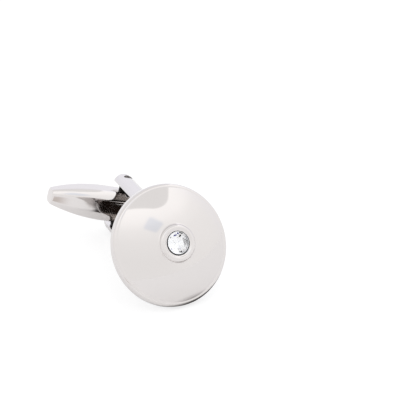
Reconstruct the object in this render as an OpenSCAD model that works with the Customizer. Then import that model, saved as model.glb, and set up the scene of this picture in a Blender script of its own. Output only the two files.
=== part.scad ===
// Swivel-back cufflink: a domed round face with one set crystal, a fork on its back, and a
// torpedo-shaped toggle that turns on a pin between the fork's arms.
// It is drawn in millimetres, lying on a table with +Z up, the way such a cufflink comes to rest.

/* [Face] */
// Diameter of the round face
face_d = 16; // [14:0.5:20]
// Height of the plain side band round the face
band_h = 1.3; // [1:0.1:2]
// Height of the dome's middle above the rim
dome_h = 2.15; // [1.8:0.05:2.6]
// Radius of the rounded rim outside the dome
rim_r = 0.3; // [0.2:0.05:0.4]
// Wall thickness of the hollow dome
wall = 0.8; // [0.6:0.05:1]
// Thickness of the plate that closes the back
plate_t = 0.7; // [0.5:0.05:0.8]
// Width of the step inside the band that the plate rests on
ledge_w = 0.4; // [0.3:0.05:0.6]

/* [Stone setting] */
// Diameter of the crystal at its girdle
stone_d = 3.4; // [3:0.1:3.8]
// Height of the girdle above the rim
girdle_z = 2.12; // [2.04:0.01:2.16]
// Height of the girdle's upright edge
girdle_t = 0.08; // [0.05:0.01:0.12]
// Height of the crown above the girdle
crown_h = 0.42; // [0.3:0.01:0.5]
// Depth of the pointed pavilion below the girdle
pavilion_h = 1.2; // [1:0.05:1.3]
// Table width as a share of the stone's diameter
table_share = 0.56; // [0.5:0.01:0.62]
// Radius of the rounded ring round the stone
bezel_r = 0.43; // [0.38:0.01:0.5]
// Height of the ring's inner edge above the ring's middle
lip_h = 0.28; // [0.26:0.01:0.34]
// How far the ring laps over the stone's edge
lap = 0.1; // [0.06:0.01:0.12]
// Radius of the hollow blend from the ring to the dome
foot_r = 0.15; // [0.1:0.05:0.3]
// Thickness of the mirror foil under the stone
foil_t = 0.07; // [0.05:0.01:0.1]
// Clearance all round a seated piece
seat_gap = 0.02; // [0.01:0.01:0.03]

/* [Fork] */
// Length of the post from the back plate to the pin
post_l = 19.2; // [16:0.1:21]
// Angle at which the fork leans away from the face's axis
lean = 25.5; // [10:0.5:30]
// Distance of the post's foot from the middle of the face
foot_x = -1.15; // [-1.5:0.05:1]
// Clear gap between the two arms
gap = 6; // [5.2:0.1:6.4]
// Width of the flat inner side of each arm
arm_w = 2.85; // [2.6:0.1:3.2]
// Thickness of each arm at its crown
arm_t = 1.2; // [1:0.05:1.4]
// Length of the arm beyond the pin, before its round end
arm_over = 1.1; // [0.4:0.05:1.2]
// Thickness of the foot that is soldered to the plate
foot_t = 1; // [0.8:0.05:1.3]

/* [Pin] */
// Diameter of the pin
pin_d = 1.2; // [1:0.05:1.4]
// Depth of the pin's ends below the arms' crowns
recess = 0.3; // [0.15:0.05:0.4]
// Running clearance of the toggle on the pin
run_gap = 0.05; // [0.03:0.01:0.08]
// Width across the four flats that the spring clicks on
cam_w = 0.9; // [0.8:0.05:1]

/* [Toggle] */
// Length of the toggle from the pin to its nose
nose_l = 10.6; // [9:0.1:12]
// Length of the toggle from the pin to its tail
tail_l = 10; // [8:0.1:11]
// Greatest width of the toggle
body_w = 4.4; // [4.2:0.05:4.8]
// Greatest thickness of the toggle, from its face side to its back
body_t = 4.55; // [4.2:0.05:4.8]
// Diameter of the round body that the flat sides are cut on
round_d = 5.1; // [4.95:0.05:5.4]
// Half length of the even middle before the tapers start
even_l = 2.8; // [2:0.1:3.5]
// Size of the blunt ends as a share of the middle
end_share = 0.46; // [0.4:0.01:0.6]
// Distance between the bevelled faces as a share of the round body's diameter
bevel_share = 0.993; // [0.985:0.001:0.997]
// Angle of the bevelled faces from the pin's axis
bevel_angle = 57; // [54:1:60]
// Width of the neck between its two side flats
neck_w = 3.6; // [3.4:0.1:4]
// Distance from the pin to the shoulders of the thick half
shoulder_y = 0.2; // [0.1:0.05:1.05]
// Radius of the shoulders' rounded corner
shoulder_round = 0.6; // [0.3:0.05:0.8]
// Diameter of the bosses that keep the toggle in the middle of the fork
boss_d = 2.2; // [2:0.1:2.5]
// Side clearance between each boss and its arm
side_gap = 0.1; // [0.05:0.01:0.15]

/* [Click spring] */
// Width of the slot that holds the spring
slot_w = 1.8; // [1.7:0.05:2]
// Length of the slot on the thick half
slot_l = 7; // [6.5:0.1:7.5]
// Length of the slot on the thin half
slot_back = 2; // [1.8:0.1:2.4]
// Depth of the deep end of the slot above the pin's axis
slot_h = 1; // [0.9:0.05:1.1]
// Distance from the pin to the ledge that the spring is riveted to
ledge_y = 3.4; // [3:0.1:3.8]
// Thickness of the leaf spring
leaf_t = 0.25; // [0.2:0.01:0.3]
// Width of the leaf spring
leaf_w = 1.55; // [1.4:0.05:1.65]
// Distance from the pin to the free end of the spring
leaf_back = 1.3; // [1:0.1:1.6]
// Gap between the spring's fixed end and the slot's end
leaf_end_gap = 0.6; // [0.2:0.05:1]
// Distance from the slot's end to the rivet
rivet_inset = 2; // [1.6:0.1:2.4]
// Diameter of the rivet's shank
rivet_d = 0.8; // [0.7:0.05:0.9]
// Diameter of the rivet's head
rivet_head_d = 1.4; // [1.2:0.05:1.6]
// Height of the rivet's head
rivet_head_h = 0.25; // [0.2:0.05:0.35]
// Depth of the rivet's shank in the ledge
rivet_l = 1; // [0.8:0.1:1.2]

/* [Lying on the table] */
// Turn about X that lays the face over
lie_x_angle = 32.49; // [-180:0.01:180]
// Turn about Y that follows it
lie_y_angle = -54.45; // [-180:0.01:180]
// Turn about Z that follows both
lie_z_angle = 81.3; // [-180:0.01:180]
// Shift along X that centres the cufflink
shift_x = 5.08; // [-20:0.001:20]
// Shift along Y that centres the cufflink
shift_y = -8.657; // [-20:0.001:20]
// Height that stands the cufflink on the table
shift_z = 7.498; // [-5:0.001:30]

/* [Hidden] */
$fn = 96;
// How many sides the cut crystal has
facets = 12;
// How many sides the long arcs have
arc_sides = 256;
face_r = face_d / 2;
// The dome is part of a sphere that reaches down to the rounded rim
dome_edge = face_r - rim_r;
dome_r = (pow(dome_edge, 2) + pow(dome_h, 2)) / (2 * dome_h);
dome_z = dome_h - dome_r;
inner_r = face_r - wall;
stone_r = stone_d / 2;
table_r = stone_r * table_share;
// The stone is seen through the inside of the rounded ring
window_r = stone_r - lap;
ring_r = window_r + bezel_r;
ring_z = dome_z + sqrt(pow(dome_r, 2) - pow(ring_r, 2));
// The blend ends on the dome
toe_x = ring_r + bezel_r + foot_r;
toe_z = dome_z + sqrt(pow(dome_r, 2) - pow(toe_x, 2));
cup_r = ring_r;
bore_r = stone_r + seat_gap;
stone_point_z = girdle_z - pavilion_h;
cup_floor = wall / 2;
cup_z = stone_point_z - foil_t - seat_gap - cup_floor;
// Each arm's section is part of a circle that passes through the flat side's corners
arm_r = (pow(arm_w / 2, 2) + pow(arm_t, 2)) / (2 * arm_t);
arm_x = gap / 2 + arm_t - arm_r;
pin_l = gap + 2 * (arm_t - recess);
nose_reach = nose_l - even_l;
tail_reach = tail_l - even_l;
flat_z = -cam_w / 2;
leaf_l = slot_l - leaf_end_gap;
rivet_y = slot_l - rivet_inset;
// A length that reaches past every piece, for cuts that run right through
far = 2 * post_l;

// Places its children, drawn in the face's own frame, where they lie on the table
module lying() {
    translate([shift_x, shift_y, shift_z])
        rotate([lie_x_angle, lie_y_angle, lie_z_angle]) children();
}

// Places its children, drawn round the pin (X along the pin, Y to the nose, Z to the face)
module on_pin() {
    translate([foot_x, 0, -band_h])
        rotate([0, -lean, 0])
            translate([0, 0, -post_l]) children();
}

// Spins a flat profile round the face's axis
module turned() {
    rotate_extrude() children();
}

// Everything below the dome's sphere, as a flat profile
module under_dome(r) {
    intersection() {
        translate([0, dome_z]) circle(r, $fn = arc_sides);
        translate([0, -band_h]) square([dome_edge, dome_h + band_h]);
    }
}

module face_outline() {
    under_dome(dome_r);
    translate([0, -band_h]) square([dome_edge, band_h]);
    translate([0, rim_r - band_h]) square([face_r, band_h - 2 * rim_r]);
    translate([dome_edge, -rim_r]) circle(rim_r);
    translate([dome_edge, rim_r - band_h]) circle(rim_r);
}

module face_hollow() {
    intersection() {
        under_dome(dome_r - wall);
        translate([0, -band_h]) square([inner_r - ledge_w, dome_h + band_h]);
    }
    translate([0, -band_h]) square([inner_r, plate_t]);
}

module face_dome() {
    color("gainsboro") lying() difference() {
        turned() difference() {
            face_outline();
            face_hollow();
        }
        translate([0, 0, -band_h]) cylinder(h = dome_h + 2 * band_h, r = cup_r);
    }
}

// The cup that the stone sits in, as a flat profile that ends inside the ring
module cup_outline() {
    translate([0, cup_z]) square([cup_r, girdle_z - cup_z]);
}

// The lip that slopes in from the ring's top and laps over the stone, as a flat profile
module lip_outline() {
    lip_end = ring_r + lap / 2;
    polygon([[window_r - lap, ring_z], [window_r - lap, ring_z + lip_h],
             [lip_end, ring_z + bezel_r - seat_gap], [lip_end, ring_z]]);
}

// The ring with its hollow blend to the dome, as a flat profile
module ring_outline() {
    difference() {
        union() {
            translate([ring_r, ring_z]) circle(bezel_r);
            translate([ring_r, cup_z]) square([bezel_r + foot_r - seat_gap, toe_z + foot_r - cup_z]);
        }
        translate([toe_x, toe_z + foot_r]) circle(foot_r);
        difference() {
            translate([0, dome_z]) circle(dome_r, $fn = arc_sides);
            cup_outline();
        }
    }
}

// The room for the stone and its foil, as a flat profile
module stone_room() {
    polygon([[0, stone_point_z - foil_t - seat_gap], [bore_r + foil_t, girdle_z - seat_gap],
             [bore_r + foil_t, girdle_z + girdle_t + seat_gap], [window_r, girdle_z + girdle_t + seat_gap],
             [window_r, dome_h + band_h], [0, dome_h + band_h]]);
}

module stone_setting() {
    color("silver") lying() difference() {
        union() {
            turned() ring_outline();
            turned() lip_outline();
            turned() cup_outline();
        }
        turned() stone_room();
    }
}

module crystal() {
    color("white") lying() translate([0, 0, girdle_z]) {
        translate([0, 0, girdle_t]) cylinder(h = crown_h, r1 = stone_r, r2 = table_r, $fn = facets);
        cylinder(h = girdle_t, r = stone_r, $fn = facets);
        translate([0, 0, -pavilion_h]) cylinder(h = pavilion_h, r1 = 0, r2 = stone_r, $fn = facets);
    }
}

module crystal_foil() {
    color("lightgray") lying() turned() polygon([
        [0, stone_point_z - seat_gap / 2], [bore_r, girdle_z - seat_gap],
        [bore_r + foil_t - seat_gap, girdle_z - seat_gap], [0, stone_point_z - foil_t - seat_gap / 2]]);
}

module back_plate() {
    color("silver") lying() translate([0, 0, -band_h])
        cylinder(h = plate_t, r = inner_r - seat_gap);
}

// One D-shaped arm with its round end, on the side that the pin's X axis points to
module arm() {
    intersection() {
        union() {
            translate([arm_x, 0, -arm_over]) cylinder(h = far, r = arm_r);
            translate([arm_x, 0, -arm_over]) sphere(arm_r);
        }
        translate([gap / 2, -far / 2, -far / 2]) cube([far, far, 2 * far]);
    }
}

module fork() {
    foot_half = (gap / 2 + arm_t) / cos(lean);
    color("gainsboro") lying() {
        difference() {
            on_pin() difference() {
                union() {
                    arm();
                    mirror([1, 0, 0]) arm();
                }
                rotate([0, 90, 0]) cylinder(h = far, d = pin_d, center = true);
            }
            translate([-far / 2, -far / 2, -band_h]) cube([far, far, far]);
        }
        translate([foot_x - foot_half, -arm_w / 2, -band_h - foot_t])
            cube([2 * foot_half, arm_w, foot_t]);
    }
}

module pivot_pin() {
    color("darkgray") lying() on_pin() rotate([0, 90, 0]) {
        difference() {
            cylinder(h = pin_l, d = pin_d, center = true);
            cylinder(h = slot_w - side_gap, d = 2 * pin_d, center = true);
        }
        intersection() {
            cylinder(h = slot_w, d = pin_d, center = true);
            cube([cam_w, cam_w, slot_w], center = true);
        }
    }
}

// Half of the torpedo's outline, which narrows along an arc from half width h over a length l
module taper(h, l) {
    drop = h * (1 - end_share);
    r = (pow(l, 2) + pow(drop, 2)) / (2 * drop);
    intersection() {
        translate([even_l, h - r]) circle(r, $fn = arc_sides);
        translate([even_l, r - h]) circle(r, $fn = arc_sides);
        translate([even_l, -h]) square([l, 2 * h]);
    }
}

// The torpedo's outline along X, with half width h
module torpedo(h) {
    translate([-even_l, -h]) square([2 * even_l, 2 * h]);
    taper(h, nose_reach);
    mirror([1, 0]) taper(h, tail_reach);
}

// The torpedo's outline drawn along Y and run right through sideways, turned by an angle about Y
module torpedo_slab(h, angle) {
    rotate([0, angle, 0]) rotate([0, 0, 90])
        linear_extrude(height = 2 * body_w, center = true) torpedo(h);
}

module torpedo_solid() {
    intersection() {
        rotate([-90, 0, 0]) rotate_extrude() intersection() {
            rotate([0, 0, 90]) torpedo(round_d / 2);
            translate([0, -tail_l]) square([body_w, nose_l + tail_l]);
        }
        torpedo_slab(body_w / 2, 0);
        torpedo_slab(body_t / 2, 90);
        torpedo_slab(bevel_share * round_d / 2, bevel_angle);
        torpedo_slab(bevel_share * round_d / 2, -bevel_angle);
    }
}

// The flat on one side of the neck, which ends at a shoulder with a rounded outer corner
module neck_cut() {
    run = tail_l + even_l + shoulder_y;
    step = (body_w - neck_w) / 2;
    translate([neck_w / 2, shoulder_y, 0]) linear_extrude(height = 2 * body_t, center = true) {
        translate([0, -run]) square([body_w, run]);
        difference() {
            square([body_w, shoulder_round]);
            translate([step - shoulder_round, shoulder_round]) circle(shoulder_round);
            translate([step - body_w, 0]) square([body_w - shoulder_round, shoulder_round]);
        }
    }
}

module spring_slot() {
    translate([-slot_w / 2, -slot_back, -body_w])
        cube([slot_w, slot_back + ledge_y, body_w + slot_h]);
    translate([-slot_w / 2, 0, -body_w])
        cube([slot_w, slot_l, body_w + flat_z]);
}

module toggle_body() {
    color("silver") lying() on_pin() difference() {
        union() {
            difference() {
                torpedo_solid();
                neck_cut();
                mirror([1, 0, 0]) neck_cut();
            }
            rotate([0, 90, 0]) cylinder(h = gap - 2 * side_gap, d = boss_d, center = true);
        }
        spring_slot();
        rotate([0, 90, 0]) cylinder(h = far, d = pin_d + 2 * run_gap, center = true);
        translate([0, rivet_y, flat_z - seat_gap]) cylinder(h = rivet_l + 2 * seat_gap, d = rivet_d);
    }
}

module click_spring() {
    color("dimgray") lying() on_pin() difference() {
        translate([-leaf_w / 2, -leaf_back, flat_z - leaf_t]) cube([leaf_w, leaf_back + leaf_l, leaf_t]);
        translate([0, rivet_y, flat_z - leaf_t]) cylinder(h = far, d = rivet_d, center = true);
    }
}

module spring_rivet() {
    color("darkgray") lying() on_pin() translate([0, rivet_y, flat_z - leaf_t]) {
        cylinder(h = leaf_t + rivet_l, d = rivet_d);
        translate([0, 0, -rivet_head_h]) cylinder(h = rivet_head_h, d = rivet_head_d);
    }
}

face_dome();
stone_setting();
crystal();
crystal_foil();
back_plate();
fork();
pivot_pin();
toggle_body();
click_spring();
spring_rivet();
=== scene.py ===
"""A swivel-back cufflink on a white ground, dressed and lit like the photograph."""
import math

import bmesh
import bpy
from mathutils import Matrix, Vector


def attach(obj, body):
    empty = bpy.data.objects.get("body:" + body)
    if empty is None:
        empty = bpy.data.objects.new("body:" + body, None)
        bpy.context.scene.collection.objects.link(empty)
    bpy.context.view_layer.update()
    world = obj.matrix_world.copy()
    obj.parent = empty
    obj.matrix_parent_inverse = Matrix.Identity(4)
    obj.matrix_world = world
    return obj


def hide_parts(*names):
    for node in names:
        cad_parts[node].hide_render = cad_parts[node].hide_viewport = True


MM = 0.001

# Sizes of the CAD model, in millimetres and degrees, that the dressed pieces repeat
FACE_R = 8.0
BAND_H = 1.3
DOME_H = 2.15
RIM_R = 0.3
WALL = 0.8
PLATE_T = 0.7
LEDGE_W = 0.4
STONE_R = 1.7
GIRDLE_Z = 2.12
GIRDLE_T = 0.08
CROWN_H = 0.42
PAVILION_H = 1.2
TABLE_SHARE = 0.56
BEZEL_R = 0.43
LIP_H = 0.28
LAP = 0.1
SEAT_GAP = 0.02
POST_L = 19.2
LEAN = 25.5
FOOT_X = -1.15
FOOT_T = 1.0
GAP = 6.0
ARM_W = 2.85
ARM_T = 1.2
ARM_OVER = 1.1
PIN_D = 1.2
RUN_GAP = 0.05
CAM_W = 0.9
NOSE_L = 10.6
TAIL_L = 10.0
BODY_W = 4.4
BODY_T = 4.55
ROUND_D = 5.1
EVEN_L = 2.8
END_SHARE = 0.46
BEVEL_SHARE = 0.993
BEVEL_ANGLE = 57.0
NECK_W = 3.6
SHOULDER_Y = 0.2
SHOULDER_ROUND = 0.6
SIDE_GAP = 0.1
SLOT_W = 1.8
SLOT_L = 7.0
SLOT_BACK = 2.0
SLOT_H = 1.0
LEDGE_Y = 3.4

# Sizes of the scene's own detail, in millimetres
RIM_TOP_R = 0.5
BLEND_R = 0.3
PLATE_EASE = 0.06
FOOT_EASE = 0.25
FOIL_T = 0.05
STONE_EDGE = 0.17
STONE_EDGE_H = 0.04
# How far the stone's lower half lies off its middle, so that the black ring painted as shade round the stone
# is wider at one side
SEAT_SHIFT = (0.07, -0.05)
TOGGLE_EASE = 0.14
# The toggle's rings lie closer together from just below its shoulder to well above it
SHOULDER_BELOW = 0.05
SHOULDER_ABOVE = 1.4
BOSS_D = 1.8
BOSS_EASE = 0.08
BOSS_SOFT = 0.02
BOSS_SINK = 0.1
# The arms' inner sides get painted shade, deepening between these distances from the pin towards the face
SHADE_FROM = 0.5
SHADE_TO = 2.5

# Where the stone's facets meet: shares of its radius, and of the crown's height or the pavilion's depth
STAR_RADIUS_SHARE = 0.76
STAR_HEIGHT_SHARE = 0.62
DEEP_RADIUS_SHARE = 0.3
DEEP_SHARE = 0.75
MAINS = 8
BRIM_SIDES = 2 * MAINS
FOIL_SIDES = 32
FOIL_BAND_SHARES = (0.6, 0.76, 0.9, 1.0)
# The foil's facets with painted dark and blue reflections: side, band from the middle outwards
DARK_REFLECTION_FACETS = ((30, 1), (30, 3), (31, 3), (5, 2), (17, 2), (18, 2))
BLUE_REFLECTION_FACETS = ((1, 1), (2, 1), (0, 2), (12, 2))

# How finely the curves are drawn
CREASE = 35
LATHE_SIDES = 256
DOME_STEPS = 80
INNER_DOME_STEPS = 40
RIM_TOP_STEPS = 24
RIM_STEPS = 16
RING_STEPS = 48
BLEND_STEPS = 12
PLATE_EASE_STEPS = 6
FOOT_EASE_STEPS = 5
SEAT_SIDES = 128
BORE_SIDES = 64
BOSS_SIDES = 96
ARM_SIDES = 96
ARM_END_STEPS = 24
ARM_RING_SHARES = (0.25, 0.5, 0.75, 1)
TOGGLE_SIDES = 160
TOGGLE_END_STEPS = 6
TAIL_RINGS = 80
SHOULDER_RINGS = 48
NOSE_RINGS = 60
# A higher power makes sharper corners between the walls of a section
ARM_POWER = 30
TOGGLE_POWER = 45
# An arm's section is drawn by rays from this share of its depth
ARM_MIDDLE_SHARE = 0.42
# A wall that turns its face from a ray by more than this cosine is left out
LEAST_FACING = 0.05
SLIVER = 0.01
# The cosine from which a face counts as facing straight across
NEARLY_STRAIGHT = 0.98

# How the cufflink lies on the table, as in the CAD model
LIE_ANGLES = (32.49, -54.45, 81.3)
LIE_SHIFT = (5.08, -8.657, 7.498)

# The camera, from a fit to the photograph
CAMERA_TARGET = (9.863, 0.54, 8.065)
CAMERA_DISTANCE = 240.31
CAMERA_ELEVATION = 26.811
CAMERA_AZIMUTH = 0.537
CAMERA_ROLL = -1.193
SENSOR = 36.0
FOCAL_SHARE = 4.3269
CLIP_START = 10.0
CLIP_END = 10000.0

# The tent's brightness along its tilted axis, from straight below (-1) to straight above (1)
TENT_TILT = 11.3
TENT_LEVELS = ((-1.0, 1.03), (0.1, 1.03), (0.45, 1.07), (0.62, 1.14), (0.72, 1.24), (0.858, 1.32),
               (1.0, 1.32))
# A colour ramp holds shades up to 1, so it holds the levels as shares of this one
LEVEL_TOP = 2.0
# The tent is a little brighter at the right, between these directions' X
TENT_RIGHT_LIFT = 0.04
TENT_RIGHT = (0.55, 0.95)

# The floor's half size, its own light, and its paper's shade, to the camera and in the metal's reflections
FLOOR_HALF = 3000.0
FLOOR_GLOW = 0.74
FLOOR_GLOW_IN_METAL = 0.19
FLOOR_PAPER = 0.8
FLOOR_PAPER_TO_CAMERA = 0.32

# Shaded places on the floor that only the metal shows: centre, radii, share of the soft edge and colour
FLOOR_SHADES = (((-9.0, -62.0), (14.0, 42.0), 0.9, (0.64, 0.58, 0.54)),
                ((7.0, -6.0), (7.5, 8.6), 0.4, (0.02, 0.013, 0.01)))

# Two panels in the tent, where they cross the level a unit above the object: middle, half sizes, turn,
# corner radius and width of the soft edge. The first is plain and overhead, and the second is bluish and in
# front of it.
OVERHEAD = ((-0.65, 0.62), (1.2, 1.0), 8.0, 0.34, 0.012)
OVERHEAD_LEVEL = 0.99
SCREEN = ((0.5, -0.64), (0.19, 0.17), -15.0, 0.06, 0.1)
SCREEN_TINT = (0.83, 0.865, 0.925)
# The lowest direction that a panel reaches
HORIZON = 0.05
# The tent's back is a little bluish, between these directions' Y
BACK_TINT = (0.985, 0.99, 1.045)
TENT_BACK = (0.2, 0.8)

# The metal's faint rub marks: scale and detail of their noise, how far they darken it, how they change its
# roughness, and their bump's strength and depth
RUB_SCALE = 350.0
RUB_DETAIL = 3.0
RUB_DARKENING = 0.975
RUB_GLOSS = (0.7, 1.3)
RUB_BUMP = 0.02
RUB_DEPTH = 0.01

# The stone bends light less than real glass, so that more of its foil shows
GLASS_IOR = 1.2
GLASS_NOISE_SCALE = 1500.0
GLASS_TINTS = ((0.97, 0.98, 1.0), (1.0, 1.0, 1.0))

# Colours and roughness of the metals
SILVER = ((0.74, 0.708, 0.695), 0.08)
ARM_SILVER = ((0.735, 0.71, 0.705), 0.16)
# Painted shade on the arms' inner sides, darkest towards the face
PAINTED_SHADE_SILVER = (0.3, 0.27, 0.25)
FOIL_MIRROR = ((0.99, 0.99, 0.99), 0.15)
# Painted reflections on a few of the foil's facets
DARK_REFLECTION_PAINT = ((0.05, 0.045, 0.04), 0.3)
BLUE_REFLECTION_PAINT = ((0.015, 0.015, 0.22), 0.3)
# Black for painted shade, on the ring round the stone and the toggle's bosses
PAINTED_SHADE_BLACK = ((0.012, 0.011, 0.01), 0.4)
STEEL = ((0.5, 0.49, 0.48), 0.22)
DARK_STEEL = ((0.14, 0.13, 0.125), 0.3)

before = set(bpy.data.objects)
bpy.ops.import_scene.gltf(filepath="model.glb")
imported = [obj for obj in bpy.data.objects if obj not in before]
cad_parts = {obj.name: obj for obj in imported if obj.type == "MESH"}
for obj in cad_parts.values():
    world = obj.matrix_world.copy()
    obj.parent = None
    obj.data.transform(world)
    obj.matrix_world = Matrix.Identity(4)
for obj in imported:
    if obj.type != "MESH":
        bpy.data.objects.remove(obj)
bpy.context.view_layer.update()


# Frames of reference

def turned(degrees, axis):
    return Matrix.Rotation(math.radians(degrees), 4, axis)


def moved(x, y, z):
    return Matrix.Translation((x, y, z))


# The face's own frame has its origin in the rim's plane and Z out of the dome
FACE = (moved(*LIE_SHIFT) @ turned(LIE_ANGLES[2], "Z") @ turned(LIE_ANGLES[1], "Y")
        @ turned(LIE_ANGLES[0], "X"))
# The pin's frame has X along the pin, Y to the toggle's nose and Z to the face
PIN = FACE @ moved(FOOT_X, 0, -BAND_H) @ turned(-LEAN, "Y") @ moved(0, 0, -POST_L)


# Mesh helpers

def smooth(mesh):
    """Smooth shading, but for the edges sharper than the crease angle."""
    mesh.shade_smooth()
    mesh.set_sharp_from_angle(angle=math.radians(CREASE))


def add_piece(name, points, faces, place):
    """A shaded mesh from points in millimetres in one of the frames above."""
    mesh = bpy.data.meshes.new(name)
    mesh.from_pydata([(place @ Vector(p)) * MM for p in points], [], faces)
    tidy = bmesh.new()
    tidy.from_mesh(mesh)
    bmesh.ops.recalc_face_normals(tidy, faces=tidy.faces)
    tidy.to_mesh(mesh)
    tidy.free()
    smooth(mesh)
    piece = bpy.data.objects.new(name, mesh)
    bpy.context.scene.collection.objects.link(piece)
    return piece


def arc(x, y, radius, start, end, steps):
    """Points along an arc, with its angles in degrees."""
    turns = [math.radians(start + (end - start) * i / steps) for i in range(steps + 1)]
    return [(x + radius * math.cos(t), y + radius * math.sin(t)) for t in turns]


def loft(name, rings, place, closed=False):
    """A skin over rings of equal length, capped at both ends unless it is closed on itself."""
    count = len(rings[0])
    points = [p for ring in rings for p in ring]
    spans = len(rings) if closed else len(rings) - 1
    faces = []
    for i in range(spans):
        here, there = i * count, (i + 1) % len(rings) * count
        for j in range(count):
            k = (j + 1) % count
            faces.append((here + j, here + k, there + k, there + j))
    if not closed:
        faces.append(tuple(range(count)))
        faces.append(tuple(range(len(points) - count, len(points))))
    return add_piece(name, points, faces, place)


def circle(radius, count, offset=0):
    """Points round the origin, of which the first is turned by a share of a step."""
    turns = [2 * math.pi * (j + offset) / count for j in range(count)]
    return [(radius * math.cos(t), radius * math.sin(t)) for t in turns]


def level_ring(radius, height, count, offset=0):
    return [(x, y, height) for x, y in circle(radius, count, offset)]


def pin_ring(radius, x, count):
    """A ring round the pin, at a place along it."""
    return [(x, y, z) for y, z in circle(radius, count)]


def lathe(name, outline, place, sides=LATHE_SIDES):
    """An outline of (radius, height) points spun round Z."""
    return loft(name, [level_ring(radius, height, sides) for radius, height in outline], place, closed=True)


def shifted(ring, shift):
    """A ring of points moved sideways."""
    return [(x + shift[0], y + shift[1], z) for x, y, z in ring]


def cut(piece, cutters):
    """Takes the cutters out of the piece for good, and applies its other modifiers."""
    for cutter in cutters:
        knife = piece.modifiers.new("cut", "BOOLEAN")
        knife.operation = "DIFFERENCE"
        knife.solver = "EXACT"
        knife.object = cutter
    graph = bpy.context.evaluated_depsgraph_get()
    mesh = bpy.data.meshes.new_from_object(piece.evaluated_get(graph))
    piece.modifiers.clear()
    piece.data = mesh
    smooth(mesh)
    for cutter in cutters:
        bpy.data.objects.remove(cutter)


def box_rings(low, high):
    corners = [(low[0], low[1]), (high[0], low[1]), (high[0], high[1]), (low[0], high[1])]
    return [[(x, y, z) for x, y in corners] for z in (low[2], high[2])]


def dress(piece, node, body):
    """The piece takes a CAD node's place and moves with its body."""
    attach(piece, body)
    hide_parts(node)


def use(piece, material):
    piece.data.materials.clear()
    piece.data.materials.append(material)


# Materials

def node_material(name):
    """An empty node material, with its tree and its Principled shader."""
    material = bpy.data.materials.new(name)
    material.use_nodes = True
    tree = material.node_tree
    return material, tree, tree.nodes["Principled BSDF"]


def math_node(tree, operation, *inputs):
    """A math node fed by sockets or plain numbers. Returns its output."""
    node = tree.nodes.new("ShaderNodeMath")
    node.operation = operation
    for socket, value in zip(node.inputs, inputs):
        if isinstance(value, (int, float)):
            socket.default_value = value
        else:
            tree.links.new(value, socket)
    return node.outputs[0]


def tint_node(tree, fac, under, over):
    """Mixes a colour or socket over another one. Returns the mixed colour."""
    node = tree.nodes.new("ShaderNodeMix")
    node.data_type = "RGBA"
    colors = [socket for socket in node.inputs if socket.type == "RGBA"]
    for socket, value in ((node.inputs["Factor"], fac), (colors[0], under), (colors[1], over)):
        if isinstance(value, bpy.types.NodeSocket):
            tree.links.new(value, socket)
        else:
            socket.default_value = (*value, 1)
    return [socket for socket in node.outputs if socket.type == "RGBA"][0]


def smooth_step(tree, value, none, full, top=1.0):
    """Goes smoothly from 0 where a socket's value is the first number, to the top where it is the second."""
    step = tree.nodes.new("ShaderNodeMapRange")
    step.interpolation_type = "SMOOTHSTEP"
    step.inputs["From Min"].default_value = none
    step.inputs["From Max"].default_value = full
    step.inputs["To Max"].default_value = top
    tree.links.new(value, step.inputs["Value"])
    return step.outputs["Result"]


def noise_ramp(tree, noise, colors):
    """Colours that follow a noise. Returns the colour's socket."""
    ramp = tree.nodes.new("ShaderNodeValToRGB")
    for stop, color in zip(ramp.color_ramp.elements, colors):
        stop.color = (*color, 1)
    tree.links.new(noise.outputs["Fac"], ramp.inputs["Fac"])
    return ramp.outputs["Color"]


def object_noise(tree, scale):
    """A noise that keeps its place on the piece."""
    place = tree.nodes.new("ShaderNodeTexCoord")
    noise = tree.nodes.new("ShaderNodeTexNoise")
    noise.inputs["Scale"].default_value = scale
    tree.links.new(place.outputs["Object"], noise.inputs["Vector"])
    return noise


def polished_metal(name, color, roughness):
    """Plated metal with faint rub marks in its colour, gloss and surface."""
    material, tree, shader = node_material(name)
    shader.inputs["Metallic"].default_value = 1.0
    noise = object_noise(tree, RUB_SCALE)
    noise.inputs["Detail"].default_value = RUB_DETAIL
    tint = noise_ramp(tree, noise, ([c * RUB_DARKENING for c in color], color))
    gloss = tree.nodes.new("ShaderNodeMapRange")
    gloss.inputs["To Min"].default_value = roughness * RUB_GLOSS[0]
    gloss.inputs["To Max"].default_value = roughness * RUB_GLOSS[1]
    bump = tree.nodes.new("ShaderNodeBump")
    bump.inputs["Strength"].default_value = RUB_BUMP
    bump.inputs["Distance"].default_value = RUB_DEPTH * MM
    link = tree.links.new
    link(noise.outputs["Fac"], gloss.inputs["Value"])
    link(noise.outputs["Fac"], bump.inputs["Height"])
    link(tint, shader.inputs["Base Color"])
    link(gloss.outputs["Result"], shader.inputs["Roughness"])
    link(bump.outputs["Normal"], shader.inputs["Normal"])
    return material


def shade_fading_metal(name, color, roughness, shade_color):
    """Polished metal with painted shade that darkens it along the arms, from the pin to the face."""
    material = polished_metal(name, color, roughness)
    tree = material.node_tree
    shader = tree.nodes["Principled BSDF"]
    plain = shader.inputs["Base Color"].links[0].from_socket
    place = tree.nodes.new("ShaderNodeTexCoord")
    along = tree.nodes.new("ShaderNodeVectorMath")
    along.operation = "DOT_PRODUCT"
    up = (PIN.to_3x3() @ Vector((0, 0, 1))).normalized()
    along.inputs[1].default_value = up
    fade = tree.nodes.new("ShaderNodeMapRange")
    start = up.dot(PIN.translation)
    fade.inputs["From Min"].default_value = (start + SHADE_FROM) * MM
    fade.inputs["From Max"].default_value = (start + SHADE_TO) * MM
    tree.links.new(place.outputs["Object"], along.inputs[0])
    tree.links.new(along.outputs["Value"], fade.inputs["Value"])
    tree.links.new(tint_node(tree, fade.outputs["Result"], plain, shade_color), shader.inputs["Base Color"])
    return material


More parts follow.
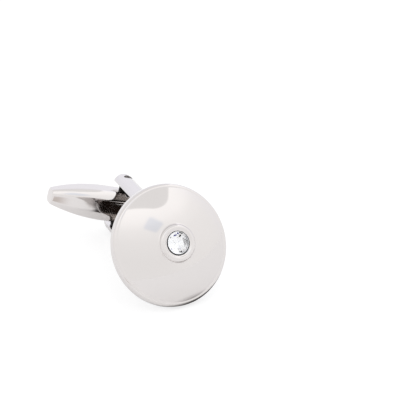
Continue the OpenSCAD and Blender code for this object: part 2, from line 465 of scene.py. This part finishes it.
def cut_glass():
    material, tree, shader = node_material("lead_crystal")
    shader.inputs["Transmission Weight"].default_value = 1.0
    shader.inputs["IOR"].default_value = GLASS_IOR
    shader.inputs["Roughness"].default_value = 0.0
    tint = noise_ramp(tree, object_noise(tree, GLASS_NOISE_SCALE), GLASS_TINTS)
    tree.links.new(tint, shader.inputs["Base Color"])
    return material


silver = polished_metal("silver", *SILVER)
arm_silver = polished_metal("arm_silver", *ARM_SILVER)
# The arms' inner sides, darkened with painted shade
inner_silver_painted_shade = shade_fading_metal("inner_silver_painted_shade", *ARM_SILVER, PAINTED_SHADE_SILVER)
mirror = polished_metal("foil", *FOIL_MIRROR)
# Painted reflections for the foil's facets
dark_painted_reflection = polished_metal("dark_painted_reflection", *DARK_REFLECTION_PAINT)
blue_painted_reflection = polished_metal("blue_painted_reflection", *BLUE_REFLECTION_PAINT)
# Painted shade, black
painted_shade_black = polished_metal("painted_shade_black", *PAINTED_SHADE_BLACK)
steel = polished_metal("steel", *STEEL)
dark_steel = polished_metal("dark_steel", *DARK_STEEL)
glass = cut_glass()


# Face

dome_edge = FACE_R - RIM_R
dome_r = (dome_edge ** 2 + DOME_H ** 2) / (2 * DOME_H)
dome_z = DOME_H - dome_r
window_r = STONE_R - LAP
brim_r = window_r - SEAT_GAP
core_r = brim_r - STONE_EDGE
ring_r = window_r + BEZEL_R
ring_z = dome_z + math.sqrt(dome_r ** 2 - ring_r ** 2)


def dome_arc(radius, inner, outer, steps):
    """The dome's arc between two distances from the axis."""
    start, end = (90 - math.degrees(math.asin(r / radius)) for r in (inner, outer))
    return arc(0, dome_z, radius, start, end, steps)


def face_shell():
    inner_r = FACE_R - WALL
    top_r = FACE_R - RIM_TOP_R
    top_z = dome_z + math.sqrt(dome_r ** 2 - top_r ** 2) - RIM_TOP_R
    outline = dome_arc(dome_r, ring_r, top_r, DOME_STEPS)
    outline += arc(top_r, top_z, RIM_TOP_R, 90, 0, RIM_TOP_STEPS)
    outline += arc(dome_edge, RIM_R - BAND_H, RIM_R, 0, -90, RIM_STEPS)
    outline += [(inner_r, -BAND_H), (inner_r, PLATE_T - BAND_H), (inner_r - LEDGE_W, PLATE_T - BAND_H)]
    outline += dome_arc(dome_r - WALL, ring_r, inner_r - LEDGE_W, INNER_DOME_STEPS)[::-1]
    return lathe("domed_face", outline, FACE)


def stone_ring():
    """The rounded ring, with a hollow blend that touches both the ring and the dome."""
    reach = dome_r + BLEND_R
    side = reach ** 2 + dome_r ** 2 - (BEZEL_R + BLEND_R) ** 2
    turn = math.acos(side / (2 * reach * dome_r)) + math.asin(ring_r / dome_r)
    blend_x, blend_z = reach * math.sin(turn), dome_z + reach * math.cos(turn)
    meet = math.degrees(math.atan2(blend_z - ring_z, blend_x - ring_r))
    foil_low = GIRDLE_Z - PAVILION_H - FOIL_T - 2 * SEAT_GAP
    # The lip slopes up from the stone to meet the ring's round top
    crest = BEZEL_R - SEAT_GAP
    slope = (crest - LIP_H) / (ring_r - window_r + LAP)
    lip_z = ring_z + LIP_H + slope * LAP
    run = (slope * crest + math.sqrt(BEZEL_R ** 2 * (1 + slope ** 2) - crest ** 2)) / (1 + slope ** 2)
    start = math.degrees(math.atan2(crest - slope * run, -run))
    outline = [(window_r, GIRDLE_Z + GIRDLE_T + SEAT_GAP), (window_r, lip_z - SEAT_GAP),
               (window_r + SEAT_GAP, lip_z + slope * SEAT_GAP)]
    outline += arc(ring_r, ring_z, BEZEL_R, start, meet, RING_STEPS)
    outline += arc(blend_x, blend_z, BLEND_R, 180 + meet, 270 - math.degrees(turn), BLEND_STEPS)
    outline += [(ring_r - SEAT_GAP, ring_z - BEZEL_R), (ring_r - SEAT_GAP, foil_low - WALL / 2),
                (WALL / 2, foil_low - WALL / 2), (WALL / 2, foil_low),
                (STONE_R + FOIL_T, GIRDLE_Z - SEAT_GAP), (STONE_R + FOIL_T, GIRDLE_Z + GIRDLE_T + SEAT_GAP)]
    return lathe("stone_ring", outline, FACE)


def cut_crystal():
    """A round brilliant: table, stars, kites and halves above its thin brim, mains and halves below."""
    low = GIRDLE_Z + GIRDLE_T
    point = GIRDLE_Z - PAVILION_H
    deep_z = low - (low - point) * DEEP_SHARE
    points = (level_ring(STONE_R * TABLE_SHARE, low + CROWN_H, MAINS)
              + level_ring(STONE_R * STAR_RADIUS_SHARE, low + CROWN_H * STAR_HEIGHT_SHARE, MAINS, 0.5)
              + level_ring(brim_r, low + STONE_EDGE_H, BRIM_SIDES) + level_ring(brim_r, low, BRIM_SIDES)
              + shifted(level_ring(core_r, low, BRIM_SIDES), SEAT_SHIFT)
              + shifted(level_ring(STONE_R * DEEP_RADIUS_SHARE, deep_z, MAINS), SEAT_SHIFT)
              + [(*SEAT_SHIFT, point)])
    # Where each ring's points start in the list
    star = MAINS
    upper = star + MAINS
    lower = upper + BRIM_SIDES
    core = lower + BRIM_SIDES
    deep = core + BRIM_SIDES
    tip = deep + MAINS
    faces = [tuple(range(MAINS))]
    for i in range(MAINS):
        n = (i + 1) % MAINS
        a, b, c = 2 * i, 2 * i + 1, (2 * i + 2) % BRIM_SIDES
        faces += [(i, n, star + i), (star + i, upper + a, upper + b), (star + i, upper + b, upper + c),
                  (i, star + i, upper + a), (n, upper + c, star + i)]
        for j, k in ((a, b), (b, c)):
            faces += [(upper + j, lower + j, lower + k, upper + k),
                      (lower + j, core + j, core + k, lower + k)]
        faces += [(core + a, deep + i, core + b), (core + b, deep + n, core + c),
                  (core + b, deep + i, tip, deep + n)]
    piece = add_piece("cut_crystal", points, faces, FACE)
    piece.data.shade_flat()
    return piece


def pavilion_foil():
    """Mirror backing that follows the stone's lower facets."""
    point, top = GIRDLE_Z - PAVILION_H - SEAT_GAP, GIRDLE_Z + GIRDLE_T - SEAT_GAP
    outline = [(SEAT_GAP, point)]
    outline += [(core_r * share, point + (top - point) * share) for share in FOIL_BAND_SHARES]
    outline += [(core_r + FOIL_T, top), (SEAT_GAP, point - FOIL_T)]
    piece = lathe("mirror_backing", outline, FACE @ moved(*SEAT_SHIFT, 0), sides=FOIL_SIDES)
    piece.data.shade_flat()
    return piece


def paint_foil_reflections(foil):
    """A few of the foil's facets get painted reflections, dark and blue."""
    for material, facets in ((dark_painted_reflection, DARK_REFLECTION_FACETS), (blue_painted_reflection, BLUE_REFLECTION_FACETS)):
        foil.data.materials.append(material)
        for side, band in facets:
            foil.data.polygons[band * FOIL_SIDES + side].material_index = len(foil.data.materials) - 1


def shade_ring_round_stone():
    """A black ring under the ring's lip, painted shade that is seen as a thin dark line round the stone."""
    inner, outer = core_r + FOIL_T + SEAT_GAP, STONE_R
    top = GIRDLE_Z + GIRDLE_T - SEAT_GAP
    rings = [shifted(level_ring(inner, top, SEAT_SIDES), SEAT_SHIFT),
             level_ring(outer, top, SEAT_SIDES),
             level_ring(outer, top - GIRDLE_T, SEAT_SIDES),
             shifted(level_ring(inner, top - GIRDLE_T, SEAT_SIDES), SEAT_SHIFT)]
    return loft("shade_ring_round_stone", rings, FACE, closed=True)


def closing_plate():
    """The plate that closes the face's back, with an eased edge."""
    outer = FACE_R - WALL - SEAT_GAP
    outline = [(outer, PLATE_T - BAND_H)]
    outline += arc(outer - PLATE_EASE, PLATE_EASE - BAND_H, PLATE_EASE, 0, -90, PLATE_EASE_STEPS)
    outline += [(PLATE_EASE, -BAND_H), (PLATE_EASE, PLATE_T - BAND_H)]
    return lathe("closing_plate", outline, FACE)


# Fork

arm_r = ((ARM_W / 2) ** 2 + ARM_T ** 2) / (2 * ARM_T)
arm_x = GAP / 2 + ARM_T - arm_r


def blended(distances, power):
    """The nearest of several walls along a ray, with the corners between them rounded."""
    return sum(d ** -power for d in distances) ** (-1 / power)


def arm_ring(side, radius, height_of):
    """One D-shaped section of an arm. height_of gives its height at a distance from the middle."""
    flat = GAP / 2
    depth = arm_x + radius - flat
    middle = flat + ARM_MIDDLE_SHARE * depth
    off = middle - arm_x
    ring = []
    for j in range(ARM_SIDES):
        t = 2 * math.pi * j / ARM_SIDES
        walls = [-off * math.cos(t) + math.sqrt(radius ** 2 - (off * math.sin(t)) ** 2)]
        if math.cos(t) < -SLIVER:
            walls.append((flat - middle) / math.cos(t))
        reach = blended(walls, ARM_POWER)
        x = middle + reach * math.cos(t)
        ring.append((side * x, reach * math.sin(t), height_of(side * x)))
    return ring


def fork_arm(side):
    """An arm from its rounded end, past the pin, to its slanted end on the foot. The side is 1 or -1."""
    rings = []
    widest = math.degrees(math.acos((GAP / 2 - arm_x + SLIVER) / arm_r))
    for i in range(ARM_END_STEPS, -1, -1):
        turn = math.radians(widest * i / ARM_END_STEPS)
        level = -ARM_OVER - arm_r * math.sin(turn)
        rings.append(arm_ring(side, arm_r * math.cos(turn), lambda x, level=level: level))
    slant = math.tan(math.radians(LEAN))
    for share in ARM_RING_SHARES:
        rings.append(arm_ring(side, arm_r,
                              lambda x, s=share: s * (POST_L + ARM_OVER - x * slant) - ARM_OVER))
    return loft("arm", rings, PIN)


def pin_bore(length, diameter):
    rings = [pin_ring(diameter / 2, x, BORE_SIDES) for x in (-length / 2, length / 2)]
    return loft("bore", rings, PIN)


def join(name, parts):
    """Several meshes as one piece."""
    whole = bmesh.new()
    for part in parts:
        whole.from_mesh(part.data)
        bpy.data.objects.remove(part)
    mesh = bpy.data.meshes.new(name)
    whole.to_mesh(mesh)
    whole.free()
    piece = bpy.data.objects.new(name, mesh)
    bpy.context.scene.collection.objects.link(piece)
    return piece


def shade_inner_sides(fork):
    """The arms' flat inner sides, facing each other, take the metal with painted shade."""
    fork.data.materials.append(inner_silver_painted_shade)
    across = (PIN.to_3x3() @ Vector((1, 0, 0))).normalized()
    for face in fork.data.polygons:
        x = (PIN.inverted() @ (face.center / MM)).x
        inwards = face.normal.dot(across) * x < -NEARLY_STRAIGHT * abs(x)
        if inwards and abs(x) < GAP / 2 + SEAT_GAP:
            face.material_index = 1


def swivel_fork():
    """Two bored arms and the eased foot between them and the face."""
    arms = []
    for side in (1, -1):
        arm = fork_arm(side)
        cut(arm, [pin_bore(2 * FACE_R, PIN_D)])
        arms.append(arm)
    half = (GAP / 2 + ARM_T) / math.cos(math.radians(LEAN))
    low, high = (FOOT_X - half, -ARM_W / 2, -BAND_H - FOOT_T), (FOOT_X + half, ARM_W / 2, -BAND_H)
    foot = loft("foot", box_rings(low, high), FACE)
    rounding = foot.modifiers.new("ease", "BEVEL")
    rounding.width = FOOT_EASE * MM
    rounding.segments = FOOT_EASE_STEPS
    cut(foot, [])
    return join("swivel_fork", arms + [foot])


# Toggle

def half_width(h, y):
    """Half the torpedo's width at a place along it, where h is that of its even middle."""
    inner = abs(y) - EVEN_L
    if inner <= 0:
        return h
    reach = (NOSE_L if y > 0 else TAIL_L) - EVEN_L
    drop = h * (1 - END_SHARE)
    r = (reach ** 2 + drop ** 2) / (2 * drop)
    return h - r + math.sqrt(r ** 2 - inner ** 2)


def neck_half(y):
    """Half the neck's width, which opens in an arc at the shoulder."""
    centre = BODY_W / 2 - SHOULDER_ROUND
    inner = NECK_W / 2
    below = SHOULDER_Y + SHOULDER_ROUND - y
    if below <= 0:
        return BODY_W
    return max(inner, centre + math.sqrt(max(SHOULDER_ROUND ** 2 - below ** 2, 0)))


def toggle_ring(y, inset=0.0):
    """The toggle's section at a place along it: a circle cut by four flats and four bevels."""
    round_half = half_width(ROUND_D / 2, y)
    bevel_half = half_width(BEVEL_SHARE * ROUND_D / 2, y)
    flats = ((min(half_width(BODY_W / 2, y), neck_half(y)), 0), (half_width(BODY_T / 2, y), 90),
             (bevel_half, BEVEL_ANGLE), (bevel_half, -BEVEL_ANGLE))
    ring = []
    for j in range(TOGGLE_SIDES):
        t = 2 * math.pi * j / TOGGLE_SIDES
        walls = [round_half]
        for half, angle in flats:
            facing = abs(math.cos(t - math.radians(angle)))
            if facing > LEAST_FACING:
                walls.append(half / facing)
        reach = blended(walls, TOGGLE_POWER) - inset
        ring.append((reach * math.cos(t), y, reach * math.sin(t)))
    return ring


def swivel_toggle():
    """The torpedo with its eased ends, its slot in two depths and its bore."""
    ease, steps = TOGGLE_EASE, TOGGLE_END_STEPS
    rings = []
    for i in range(steps):
        turn = math.pi / 2 * (1 - i / steps)
        rings.append(toggle_ring(-TAIL_L + ease * (1 - math.sin(turn)), ease * (1 - math.cos(turn))))
    below, above = SHOULDER_Y - SHOULDER_BELOW, SHOULDER_Y + SHOULDER_ABOVE
    for start, end, count in ((-TAIL_L + ease, below, TAIL_RINGS), (below, above, SHOULDER_RINGS),
                              (above, NOSE_L - ease, NOSE_RINGS)):
        rings += [toggle_ring(start + (end - start) * i / count) for i in range(count)]
    for i in range(steps + 1):
        turn = math.pi / 2 * i / steps
        rings.append(toggle_ring(NOSE_L - ease + ease * math.sin(turn), ease * (1 - math.cos(turn))))
    body = loft("swivel_toggle", rings, PIN)
    back = box_rings((-SLOT_W / 2, -SLOT_BACK, -BODY_W), (SLOT_W / 2, LEDGE_Y, SLOT_H))
    front = box_rings((-SLOT_W / 2, 0, -BODY_W), (SLOT_W / 2, SLOT_L, -CAM_W / 2))
    cut(body, [loft("slot", back, PIN), loft("slot", front, PIN), pin_bore(2 * FACE_R, PIN_D + 2 * RUN_GAP)])
    return body


def toggle_bosses():
    """The bosses that keep the toggle in the middle of the fork, black as painted shade in the gaps beside
    its neck.
    """
    inner, outer = NECK_W / 2 - BOSS_SINK, GAP / 2 - SIDE_GAP
    bore_r, boss_r = PIN_D / 2 + RUN_GAP, BOSS_D / 2
    outline = ((inner, boss_r), (outer - BOSS_EASE, boss_r), (outer - BOSS_SOFT, boss_r - BOSS_SOFT),
               (outer, boss_r - BOSS_EASE), (outer, bore_r), (inner, bore_r))
    bosses = []
    for side in (1, -1):
        rings = [pin_ring(radius, side * x, BOSS_SIDES) for x, radius in outline]
        bosses.append(loft("boss", rings, PIN, closed=True))
    return join("bosses_in_painted_shade", bosses)


for name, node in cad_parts.items():
    use(node, dark_steel if name == "pivot_pin" else steel)
for maker, node, body, material in (
        (face_shell, "face_dome", "face_and_fork", silver),
        (stone_ring, "stone_setting", "face_and_fork", silver),
        (cut_crystal, "crystal", "face_and_fork", glass),
        (pavilion_foil, "crystal_foil", "face_and_fork", mirror),
        # Painted shade: a black ring round the stone under the lip
        (shade_ring_round_stone, "crystal_foil", "face_and_fork", painted_shade_black),
        (closing_plate, "back_plate", "face_and_fork", silver),
        (swivel_fork, "fork", "face_and_fork", arm_silver),
        (swivel_toggle, "toggle_body", "toggle", silver),
        # Painted shade: the bosses in black
        (toggle_bosses, "toggle_body", "toggle", painted_shade_black)):
    piece = maker()
    use(piece, material)
    if maker is swivel_fork:
        # Painted shade on the arms' inner sides
        shade_inner_sides(piece)
    if maker is pavilion_foil:
        # Painted dark and blue reflections on some of the foil's facets
        paint_foil_reflections(piece)
    dress(piece, node, body)


# Studio

def seen_in_metal_or_glass(tree, rays):
    return math_node(tree, "MAXIMUM", rays.outputs["Is Glossy Ray"], rays.outputs["Is Transmission Ray"])


def soft_spot(tree, place, centre, radii, soft):
    """1 in the middle of an ellipse on the floor, and 0 outside it."""
    mapped = tree.nodes.new("ShaderNodeMapping")
    mapped.vector_type = "TEXTURE"
    mapped.inputs["Location"].default_value = (centre[0] * MM, centre[1] * MM, 0)
    mapped.inputs["Scale"].default_value = (radii[0] * MM, radii[1] * MM, 1)
    ball = tree.nodes.new("ShaderNodeTexGradient")
    ball.gradient_type = "SPHERICAL"
    tree.links.new(place.outputs["Object"], mapped.inputs["Vector"])
    tree.links.new(mapped.outputs["Vector"], ball.inputs["Vector"])
    return smooth_step(tree, ball.outputs["Fac"], 0.0, soft)


def white_ground():
    """A floor that looks white to the camera and in reflections, and keeps the object's shadow."""
    corners = [(x * FLOOR_HALF, y * FLOOR_HALF, 0) for x, y in ((-1, -1), (1, -1), (1, 1), (-1, 1))]
    floor = add_piece("floor", corners, [(0, 1, 2, 3)], Matrix())
    material = bpy.data.materials.new("paper")
    material.use_nodes = True
    tree = material.node_tree
    tree.nodes.clear()
    rays = tree.nodes.new("ShaderNodeLightPath")
    place = tree.nodes.new("ShaderNodeTexCoord")
    camera = rays.outputs["Is Camera Ray"]
    reflected = seen_in_metal_or_glass(tree, rays)
    tint = (1, 1, 1)
    for centre, radii, soft, color in FLOOR_SHADES:
        spot = soft_spot(tree, place, centre, radii, soft)
        tint = tint_node(tree, math_node(tree, "MULTIPLY", spot, reflected), tint, color)
    strength = math_node(tree, "ADD", math_node(tree, "MULTIPLY", camera, FLOOR_GLOW),
                         math_node(tree, "MULTIPLY", reflected, FLOOR_GLOW_IN_METAL))
    shade = math_node(tree, "MULTIPLY_ADD", camera, FLOOR_PAPER_TO_CAMERA - FLOOR_PAPER, FLOOR_PAPER)
    shaded = tree.nodes.new("ShaderNodeVectorMath")
    shaded.operation = "SCALE"
    glow = tree.nodes.new("ShaderNodeEmission")
    paper = tree.nodes.new("ShaderNodeBsdfDiffuse")
    both = tree.nodes.new("ShaderNodeAddShader")
    out = tree.nodes.new("ShaderNodeOutputMaterial")
    tree.links.new(tint, shaded.inputs[0])
    tree.links.new(shade, shaded.inputs["Scale"])
    tree.links.new(tint, glow.inputs["Color"])
    tree.links.new(strength, glow.inputs["Strength"])
    tree.links.new(shaded.outputs["Vector"], paper.inputs["Color"])
    tree.links.new(glow.outputs[0], both.inputs[0])
    tree.links.new(paper.outputs[0], both.inputs[1])
    tree.links.new(both.outputs[0], out.inputs["Surface"])
    use(floor, material)


def panel(tree, parts, middle, halves, turn, corner, soft):
    """1 on a flat round-cornered panel above the object, and 0 beside it."""
    height = math_node(tree, "MAXIMUM", parts.outputs["Z"], HORIZON)
    across, along = (math_node(tree, "DIVIDE", parts.outputs[name], height) for name in "XY")
    cos, sin = math.cos(math.radians(turn)), math.sin(math.radians(turn))
    outside = []
    for (c, s), half in zip(((cos, sin), (-sin, cos)), halves):
        at = math_node(tree, "MULTIPLY_ADD", across, c, -(middle[0] * c + middle[1] * s))
        at = math_node(tree, "ABSOLUTE", math_node(tree, "MULTIPLY_ADD", along, s, at))
        outside.append(math_node(tree, "MAXIMUM", math_node(tree, "SUBTRACT", at, half - corner), 0.0))
    squares = [math_node(tree, "MULTIPLY", value, value) for value in outside]
    reach = math_node(tree, "SQRT", math_node(tree, "ADD", *squares))
    edge = smooth_step(tree, reach, corner + soft / 2, corner - soft / 2)
    above = math_node(tree, "GREATER_THAN", parts.outputs["Z"], HORIZON)
    return math_node(tree, "MULTIPLY", edge, above)


def white_surroundings():
    """A white tent with two panels: grey overhead, brightest round that, and white to the camera."""
    world = bpy.data.worlds.new("studio")
    bpy.context.scene.world = world
    world.use_nodes = True
    tree = world.node_tree
    sky = tree.nodes["Background"]
    place = tree.nodes.new("ShaderNodeTexCoord")
    axis = tree.nodes.new("ShaderNodeVectorMath")
    axis.operation = "DOT_PRODUCT"
    tilt = math.radians(TENT_TILT)
    axis.inputs[1].default_value = (0, math.sin(tilt), math.cos(tilt))
    tree.links.new(place.outputs["Generated"], axis.inputs[0])
    height = math_node(tree, "MULTIPLY_ADD", axis.outputs["Value"], 0.5, 0.5)
    ramp = tree.nodes.new("ShaderNodeValToRGB")
    stops = ramp.color_ramp.elements
    for share, level in TENT_LEVELS:
        stop = stops[0] if share == -1 else stops[-1] if share == 1 else stops.new((share + 1) / 2)
        stop.color = (level / LEVEL_TOP, level / LEVEL_TOP, level / LEVEL_TOP, 1)
    tree.links.new(height, ramp.inputs["Fac"])
    parts = tree.nodes.new("ShaderNodeSeparateXYZ")
    tree.links.new(place.outputs["Generated"], parts.inputs[0])
    right = smooth_step(tree, parts.outputs["X"], *TENT_RIGHT, TENT_RIGHT_LIFT)
    level = math_node(tree, "MULTIPLY_ADD", ramp.outputs["Color"], LEVEL_TOP, right)
    overhead = panel(tree, parts, *OVERHEAD)
    step = math_node(tree, "SUBTRACT", OVERHEAD_LEVEL, level)
    level = math_node(tree, "MULTIPLY_ADD", overhead, step, level)
    rays = tree.nodes.new("ShaderNodeLightPath")
    camera = rays.outputs["Is Camera Ray"]
    unseen = math_node(tree, "SUBTRACT", 1.0, camera)
    lit = math_node(tree, "MULTIPLY", level, unseen)
    tree.links.new(math_node(tree, "ADD", lit, camera), sky.inputs["Strength"])
    shown = math_node(tree, "MULTIPLY", panel(tree, parts, *SCREEN), unseen)
    behind = math_node(tree, "MULTIPLY", smooth_step(tree, parts.outputs["Y"], *TENT_BACK), unseen)
    tint = tint_node(tree, behind, (1, 1, 1), BACK_TINT)
    tree.links.new(tint_node(tree, shown, tint, SCREEN_TINT), sky.inputs["Color"])


def set_camera():
    camera = bpy.data.cameras.new("camera")
    camera.sensor_width = SENSOR
    camera.lens = SENSOR * FOCAL_SHARE
    camera.clip_start = CLIP_START * MM
    camera.clip_end = CLIP_END * MM
    piece = bpy.data.objects.new("camera", camera)
    bpy.context.scene.collection.objects.link(piece)
    turn = turned(CAMERA_AZIMUTH, "Z") @ turned(90 - CAMERA_ELEVATION, "X") @ turned(CAMERA_ROLL, "Z")
    place = moved(*CAMERA_TARGET) @ turn @ moved(0, 0, CAMERA_DISTANCE)
    place.translation *= MM
    piece.matrix_world = place
    bpy.context.scene.camera = piece


white_ground()
white_surroundings()
set_camera()
bpy.context.scene.view_settings.view_transform = "Standard"
